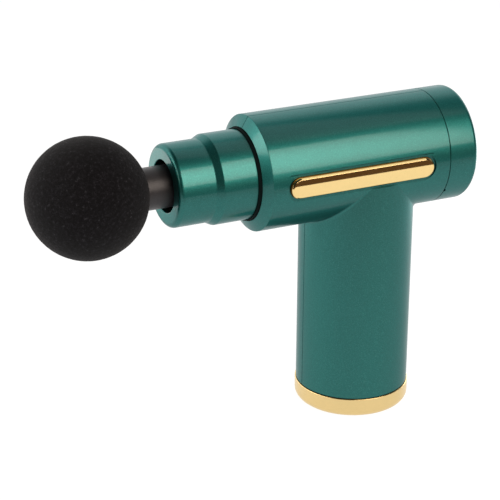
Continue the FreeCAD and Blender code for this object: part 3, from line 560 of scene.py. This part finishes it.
def make_nose_seal():
    """The rubber ring between the nose and the housing's lip; its near-black, barely reflecting rubber is
    partly painted shade for the gap there.
    """
    front, back = low("nose_seal").x / MM, FLANGE_FRONT - SEAL_CLEARANCE
    inner, outer = NOSE_BACK_RADIUS + SEAL_SQUEEZE, LIP_RADIUS - SEAL_SQUEEZE
    seal = lathe("lip_seal", [(back, inner), (front, inner, 0.04), (front, inner + SEAL_FACE, 0.1),
                              (LIP, outer, 0.1), (back, outer)])
    finish(seal, "seal_rubber", "housing", "nose_seal")


# End cap, button and light ring

CAP_FACE = high("rear_cap").x / MM
CAP_GAP = 0.3
CAP_ROUNDING = 2.0
CAP_FACE_WALL = 2.2
CAP_CAVITY = 17.0
CAP_SHOULDER = 31.9
SPIGOT = RADIUS - WALL - 0.1
SPIGOT_BORE = 18.6
BUTTON_OPENING = 9.25
NOTCH_RADIUS, NOTCH_DEPTH, NOTCH_TURN = 0.75, 1.6, math.radians(35)
BUTTON_RADIUS, BUTTON_FLANGE, FLANGE_END = 7.4, 8.9, 37.8
DISH_EDGE, DISH_RADIUS, DISH_DEPTH = 6.2, 5.0, 0.6
LENS_BORE, LENS_RADIUS, LENS_FLANGE = 7.6, 9.2, 10.5


def make_end_cap():
    """The end cap, which fits inside the barrel and has a pry notch in its joint."""
    seam, start, inside = REAR + CAP_GAP, low("rear_cap").x / MM, CAP_FACE - CAP_FACE_WALL
    cap = lathe("end_cap", [
        (seam, RADIUS, EDGE), (CAP_FACE, RADIUS, CAP_ROUNDING), (CAP_FACE, BUTTON_OPENING, 0.25),
        (inside, BUTTON_OPENING), (inside, CAP_CAVITY), (CAP_SHOULDER, CAP_CAVITY),
        (CAP_SHOULDER, SPIGOT_BORE), (start, SPIGOT_BORE), (start, SPIGOT), (seam, SPIGOT)])
    across, up = math.cos(NOTCH_TURN), math.sin(NOTCH_TURN)
    outline = [(NOTCH_RADIUS * math.cos(turn), NOTCH_RADIUS * math.sin(turn))
               for turn in np.linspace(0, 2 * math.pi, 25)[:-1]]
    rings = [[(seam + u, up * v - across * reach, AXIS - up * reach - across * v) for u, v in outline]
             for reach in (RADIUS - NOTCH_DEPTH, RADIUS + 1)]
    carve(cap, stacked("notch_cutter", rings))
    finish(cap, "housing_paint", "housing", "rear_cap")


def make_button():
    """The power button, with a dished face and a flange behind the light ring."""
    back, face = low("power_button").x / MM, high("power_button").x / MM
    button = lathe("button_cap", [
        (back, 0), (back, BUTTON_FLANGE, 0.1), (FLANGE_END, BUTTON_FLANGE, 0.1), (FLANGE_END, BUTTON_RADIUS),
        (face, BUTTON_RADIUS, 0.45), (face, DISH_EDGE, 0.5), (face - 0.75 * DISH_DEPTH, DISH_RADIUS, 0.8),
        (face - DISH_DEPTH, 0)])
    finish(button, "button_plastic", "button", "power_button")


def make_light_ring():
    back, front = low("button_light_ring").x / MM, high("button_light_ring").x / MM
    step = CAP_FACE - CAP_FACE_WALL - 0.05
    lens = lathe("light_lens_ring", [
        (back, LENS_BORE), (back, LENS_FLANGE), (step, LENS_FLANGE), (step, LENS_RADIUS),
        (front, LENS_RADIUS, 0.25), (front, LENS_BORE, 0.25)])
    finish(lens, "light_lens", "housing", "button_light_ring")


# Base, turned about the handle's axis

BASE_TOP = low("base_gasket").z / MM
BASE_RADIUS = high("base_cap").x / MM
BASE_ROUNDING = 3.2
BASE_FLOOR, BASE_BORE = 2.4, 18.2
SOLE_RADIUS, SOLE_THICKNESS = high("base_pad").x / MM, 1.0
SOLE_BORDER, SOLE_CLEARANCE = 1.2, 0.1
RIDGE_START, RIDGE_PITCH, RIDGE_HALF, RIDGE_FLANK, RIDGE_HEIGHT = 1.2, 1.6, 0.45, 0.15, 0.35
GASKET_BORE, GASKET_RADIUS, GASKET_THICKNESS = 20.4, 22.25, 0.29


def make_base():
    """The base cap, with a recess below for the sole and a spigot up into the handle."""
    top, recess = high("base_cap").z / MM, SOLE_RADIUS + SOLE_CLEARANCE
    base = lathe("foot_ring", [
        (0, recess, 0.1), (0, BASE_RADIUS, BASE_ROUNDING), (BASE_TOP, BASE_RADIUS, 0.25), (BASE_TOP, SPIGOT),
        (top, SPIGOT, 0.3), (top, BASE_BORE, 0.3), (BASE_FLOOR, BASE_BORE), (BASE_FLOOR, 0),
        (SOLE_THICKNESS, 0), (SOLE_THICKNESS, recess)], "Z")
    finish(base, "gold_trim", "housing", "base_cap")


def make_sole():
    """The rubber sole, with round ridges to stand on."""
    groove, edge = RIDGE_HEIGHT, SOLE_RADIUS - SOLE_CLEARANCE
    ridges = []
    for ridge in np.arange(RIDGE_START, SOLE_RADIUS - 2, RIDGE_PITCH):
        ridges += [(0.0, ridge - RIDGE_HALF, 0.12), (0.0, ridge + RIDGE_HALF, 0.12),
                   (groove, ridge + RIDGE_HALF + RIDGE_FLANK),
                   (groove, ridge + RIDGE_PITCH - RIDGE_HALF - RIDGE_FLANK)]
    sole = lathe("ridged_sole", [
        (SOLE_THICKNESS, 0), (groove, 0), (groove, RIDGE_START - RIDGE_HALF - RIDGE_FLANK), *ridges,
        (0.0, SOLE_RADIUS - SOLE_BORDER, 0.1), (0.0, edge, 0.3), (SOLE_THICKNESS, edge)], "Z", 160, 3)
    finish(sole, "seal_rubber", "housing", "base_pad")


def make_gasket():
    top = BASE_TOP + GASKET_THICKNESS
    gasket = lathe("joint_gasket", [(BASE_TOP, GASKET_BORE), (BASE_TOP, GASKET_RADIUS, 0.08),
                                    (top, GASKET_RADIUS, 0.08), (top, GASKET_BORE)], "Z")
    finish(gasket, "seal_rubber", "housing", "base_gasket")


# Massage head: a stem whose collar is moulded into a foam ball

STEM_RADIUS = 8.05
STEM_GROOVES = (-66.0, -58.0)
GROOVE_FLOOR, GROOVE_HALF = 7.2, 0.55
COLLAR_FRONT, COLLAR_BACK, COLLAR_RADIUS = -112.0, -104.0, 11.0
COLLAR = [(COLLAR_FRONT, STEM_RADIUS), (COLLAR_FRONT, COLLAR_RADIUS), (COLLAR_BACK, COLLAR_RADIUS),
          (COLLAR_BACK, STEM_RADIUS)]
BALL_BORE_END = -118.0
BALL_SKIN = 0.06
MOUTH_ROUNDING, MOUTH_STEP = 0.7, 0.2
DIMPLES = ((1400, 0.035), (350, 0.025))


def make_stem():
    """The stem, with its collar at the front and a groove for each ring."""
    front, back = low("head_stem").x / MM, high("head_stem").x / MM
    grooves = []
    for place in STEM_GROOVES:
        start, stop = place - GROOVE_HALF, place + GROOVE_HALF
        grooves += [(start, STEM_RADIUS, 0.08), (start, GROOVE_FLOOR), (stop, GROOVE_FLOOR),
                    (stop, STEM_RADIUS, 0.08)]
    stem = lathe("stem_shaft", [(front, 0), (front, STEM_RADIUS), *COLLAR, *grooves,
                                (back, STEM_RADIUS, 1.0), (back, 0)])
    finish(stem, "stem_plastic", "massage_head", "head_stem")


def make_ball():
    """A moulded foam ball with a dimpled skin, open at the back for its stem."""
    centre, radius = BALL_CENTRE.x / MM, BALL_RADIUS / MM - BALL_SKIN
    edge = math.asin((STEM_RADIUS + MOUTH_ROUNDING) / radius)
    lip = centre + radius * math.cos(edge)
    arc = [(centre + radius * math.cos(turn), radius * math.sin(turn))
           for turn in np.linspace(edge, math.pi, 200)]
    bore = [(BALL_BORE_END, 0.0), (BALL_BORE_END, STEM_RADIUS), *COLLAR,
            (lip - MOUTH_ROUNDING, STEM_RADIUS), (lip - MOUTH_STEP, STEM_RADIUS + MOUTH_STEP)]
    ball = lathe("foam_ball_skin", [*arc, *bore], segments=360)
    for vert in ball.data.vertices:
        offset = vert.co - BALL_CENTRE
        if offset.length > (radius - 0.5) * MM:
            rise = sum(height * noise.noise(vert.co * scale) for scale, height in DIMPLES)
            vert.co = BALL_CENTRE + offset * (1 + rise / radius)
    smooth(ball.data, 60)
    finish(ball, "ball_foam", "massage_head", "foam_ball")


for side, sign in (("left", -1), ("right", 1)):
    make_shell(side, sign)
    make_badge(side, sign)
make_nose()
make_nose_seal()
make_end_cap()
make_button()
make_light_ring()
make_base()
make_sole()
make_gasket()
make_stem()
make_ball()


# Studio: a pale floor, soft boxes and panels round the gun, and a dark card in front of it

def plane(name, corners):
    mesh = bpy.data.meshes.new(name)
    mesh.from_pydata(corners, [], [(0, 1, 2, 3)])
    thing = bpy.data.objects.new(name, mesh)
    bpy.context.scene.collection.objects.link(thing)
    return thing


def make_floor():
    reach = 4.0
    floor = plane("floor", [(-reach, -reach, 0), (reach, -reach, 0), (reach, reach, 0), (-reach, reach, 0)])
    material, _, shader = new_material("floor")
    shader.inputs["Base Color"].default_value = (0.14, 0.14, 0.14, 1)
    shader.inputs["Emission Color"].default_value = (1, 1, 1, 1)
    shader.inputs["Emission Strength"].default_value = 0.92
    shader.inputs["Roughness"].default_value = 0.9
    shader.inputs["Specular IOR Level"].default_value = 0.1
    floor.data.materials.append(material)


def make_card():
    """A black card across the front, which gold and paint reflect as a dark band."""
    away, reach, bottom, top = -0.28, 0.9, 0.015, 0.135
    card = plane("dark_card", [(-reach, away, bottom), (reach, away, bottom), (reach, away, top),
                               (-reach, away, top)])
    material, _, shader = new_material("dark_card")
    shader.inputs["Base Color"].default_value = (0.02, 0.015, 0.01, 1)
    shader.inputs["Emission Color"].default_value = (1.0, 0.42, 0.10, 1)
    shader.inputs["Emission Strength"].default_value = 0.06
    shader.inputs["Roughness"].default_value = 1.0
    card.data.materials.append(material)
    card.visible_camera = False
    card.visible_shadow = False


def soft_box(name, centre, target, width, tall, radiance, colour=(1, 1, 1)):
    data = bpy.data.lights.new(name, "AREA")
    data.color = colour
    data.shape = "RECTANGLE"
    data.size = width
    data.size_y = tall
    data.energy = radiance * math.pi * width * tall
    light = bpy.data.objects.new(name, data)
    light.location = centre
    aim = Vector(target) - Vector(centre)
    light.rotation_euler = aim.to_track_quat("-Z", "Y").to_euler()
    light.visible_camera = False
    bpy.context.scene.collection.objects.link(light)


def make_world():
    """Dim all round, with a bright wall behind the gun that fades out overhead."""
    world = bpy.data.worlds.new("studio")
    bpy.context.scene.world = world
    world.use_nodes = True
    tree = world.node_tree
    coordinates = tree.nodes.new("ShaderNodeTexCoord")
    split = tree.nodes.new("ShaderNodeSeparateXYZ")
    tree.links.new(coordinates.outputs["Generated"], split.inputs["Vector"])
    wall = mapped(tree, split.outputs["Y"], (0.0, 1.5), (-0.15, 0.5), "SMOOTHSTEP")
    fade = mapped(tree, split.outputs["Z"], (1.0, 0.0), (0.62, 0.86), "SMOOTHSTEP")
    product = add(tree, "ShaderNodeMath", operation="MULTIPLY_ADD")
    tree.links.new(wall, product.inputs[0])
    tree.links.new(fade, product.inputs[1])
    product.inputs[2].default_value = 0.03
    path = tree.nodes.new("ShaderNodeLightPath")
    mix = add(tree, "ShaderNodeMix", data_type="FLOAT")
    tree.links.new(path.outputs["Is Camera Ray"], mix.inputs[0])
    tree.links.new(product.outputs[0], mix.inputs[2])
    mix.inputs[3].default_value = 0.98
    background = tree.nodes["Background"]
    background.inputs["Color"].default_value = (1, 1, 1, 1)
    tree.links.new(mix.outputs[0], background.inputs["Strength"])


def make_camera():
    """The camera, by where it looks and the direction and distance that it looks from."""
    azimuth = math.radians(-25.76)
    elevation = math.radians(22.63)
    roll = math.radians(0.31)
    target = Vector((-46.04, 0, 71.18)) * MM
    distance = 0.6931
    back = Vector((math.sin(azimuth) * math.cos(elevation), -math.cos(azimuth) * math.cos(elevation),
                   math.sin(elevation)))
    right = Vector((math.cos(azimuth), math.sin(azimuth), 0))
    up = back.cross(right)
    turned_right = right * math.cos(roll) + up * math.sin(roll)
    turned_up = up * math.cos(roll) - right * math.sin(roll)
    data = bpy.data.cameras.new("camera")
    data.lens = 129.6
    data.sensor_width = 36.0
    data.clip_start = 0.01
    camera = bpy.data.objects.new("camera", data)
    rotation = Matrix((turned_right, turned_up, back)).transposed()
    camera.matrix_world = Matrix.Translation(target + back * distance) @ rotation.to_4x4()
    bpy.context.scene.collection.objects.link(camera)
    bpy.context.scene.camera = camera


make_floor()
make_card()
make_world()
make_camera()
soft_box("front_soft_box", (0.17, -0.62, 0.50), (0, 0, 0.10), 0.56, 0.60, 6.0, (1.0, 0.86, 0.76))
soft_box("left_soft_box", (-0.80, 0.10, 0.32), (-0.05, 0, 0.11), 0.7, 0.4, 4.2, (1.0, 0.88, 0.80))
soft_box("low_back_panel", (-0.19, 0.20, 0.045), (-0.083, 0, 0.103), 0.20, 0.07, 2.2, (1.0, 0.80, 0.76))
soft_box("low_right_panel", (0.24, 0.09, 0.055), (0.035, -0.01, 0.09), 0.16, 0.10, 6.0, (1.0, 0.90, 0.88))
soft_box("overhead_strip", (0.30, 0.13, 0.90), (0, 0.02, 0.10), 0.9, 0.20, 1.0)
bpy.context.scene.view_settings.view_transform = "Standard"
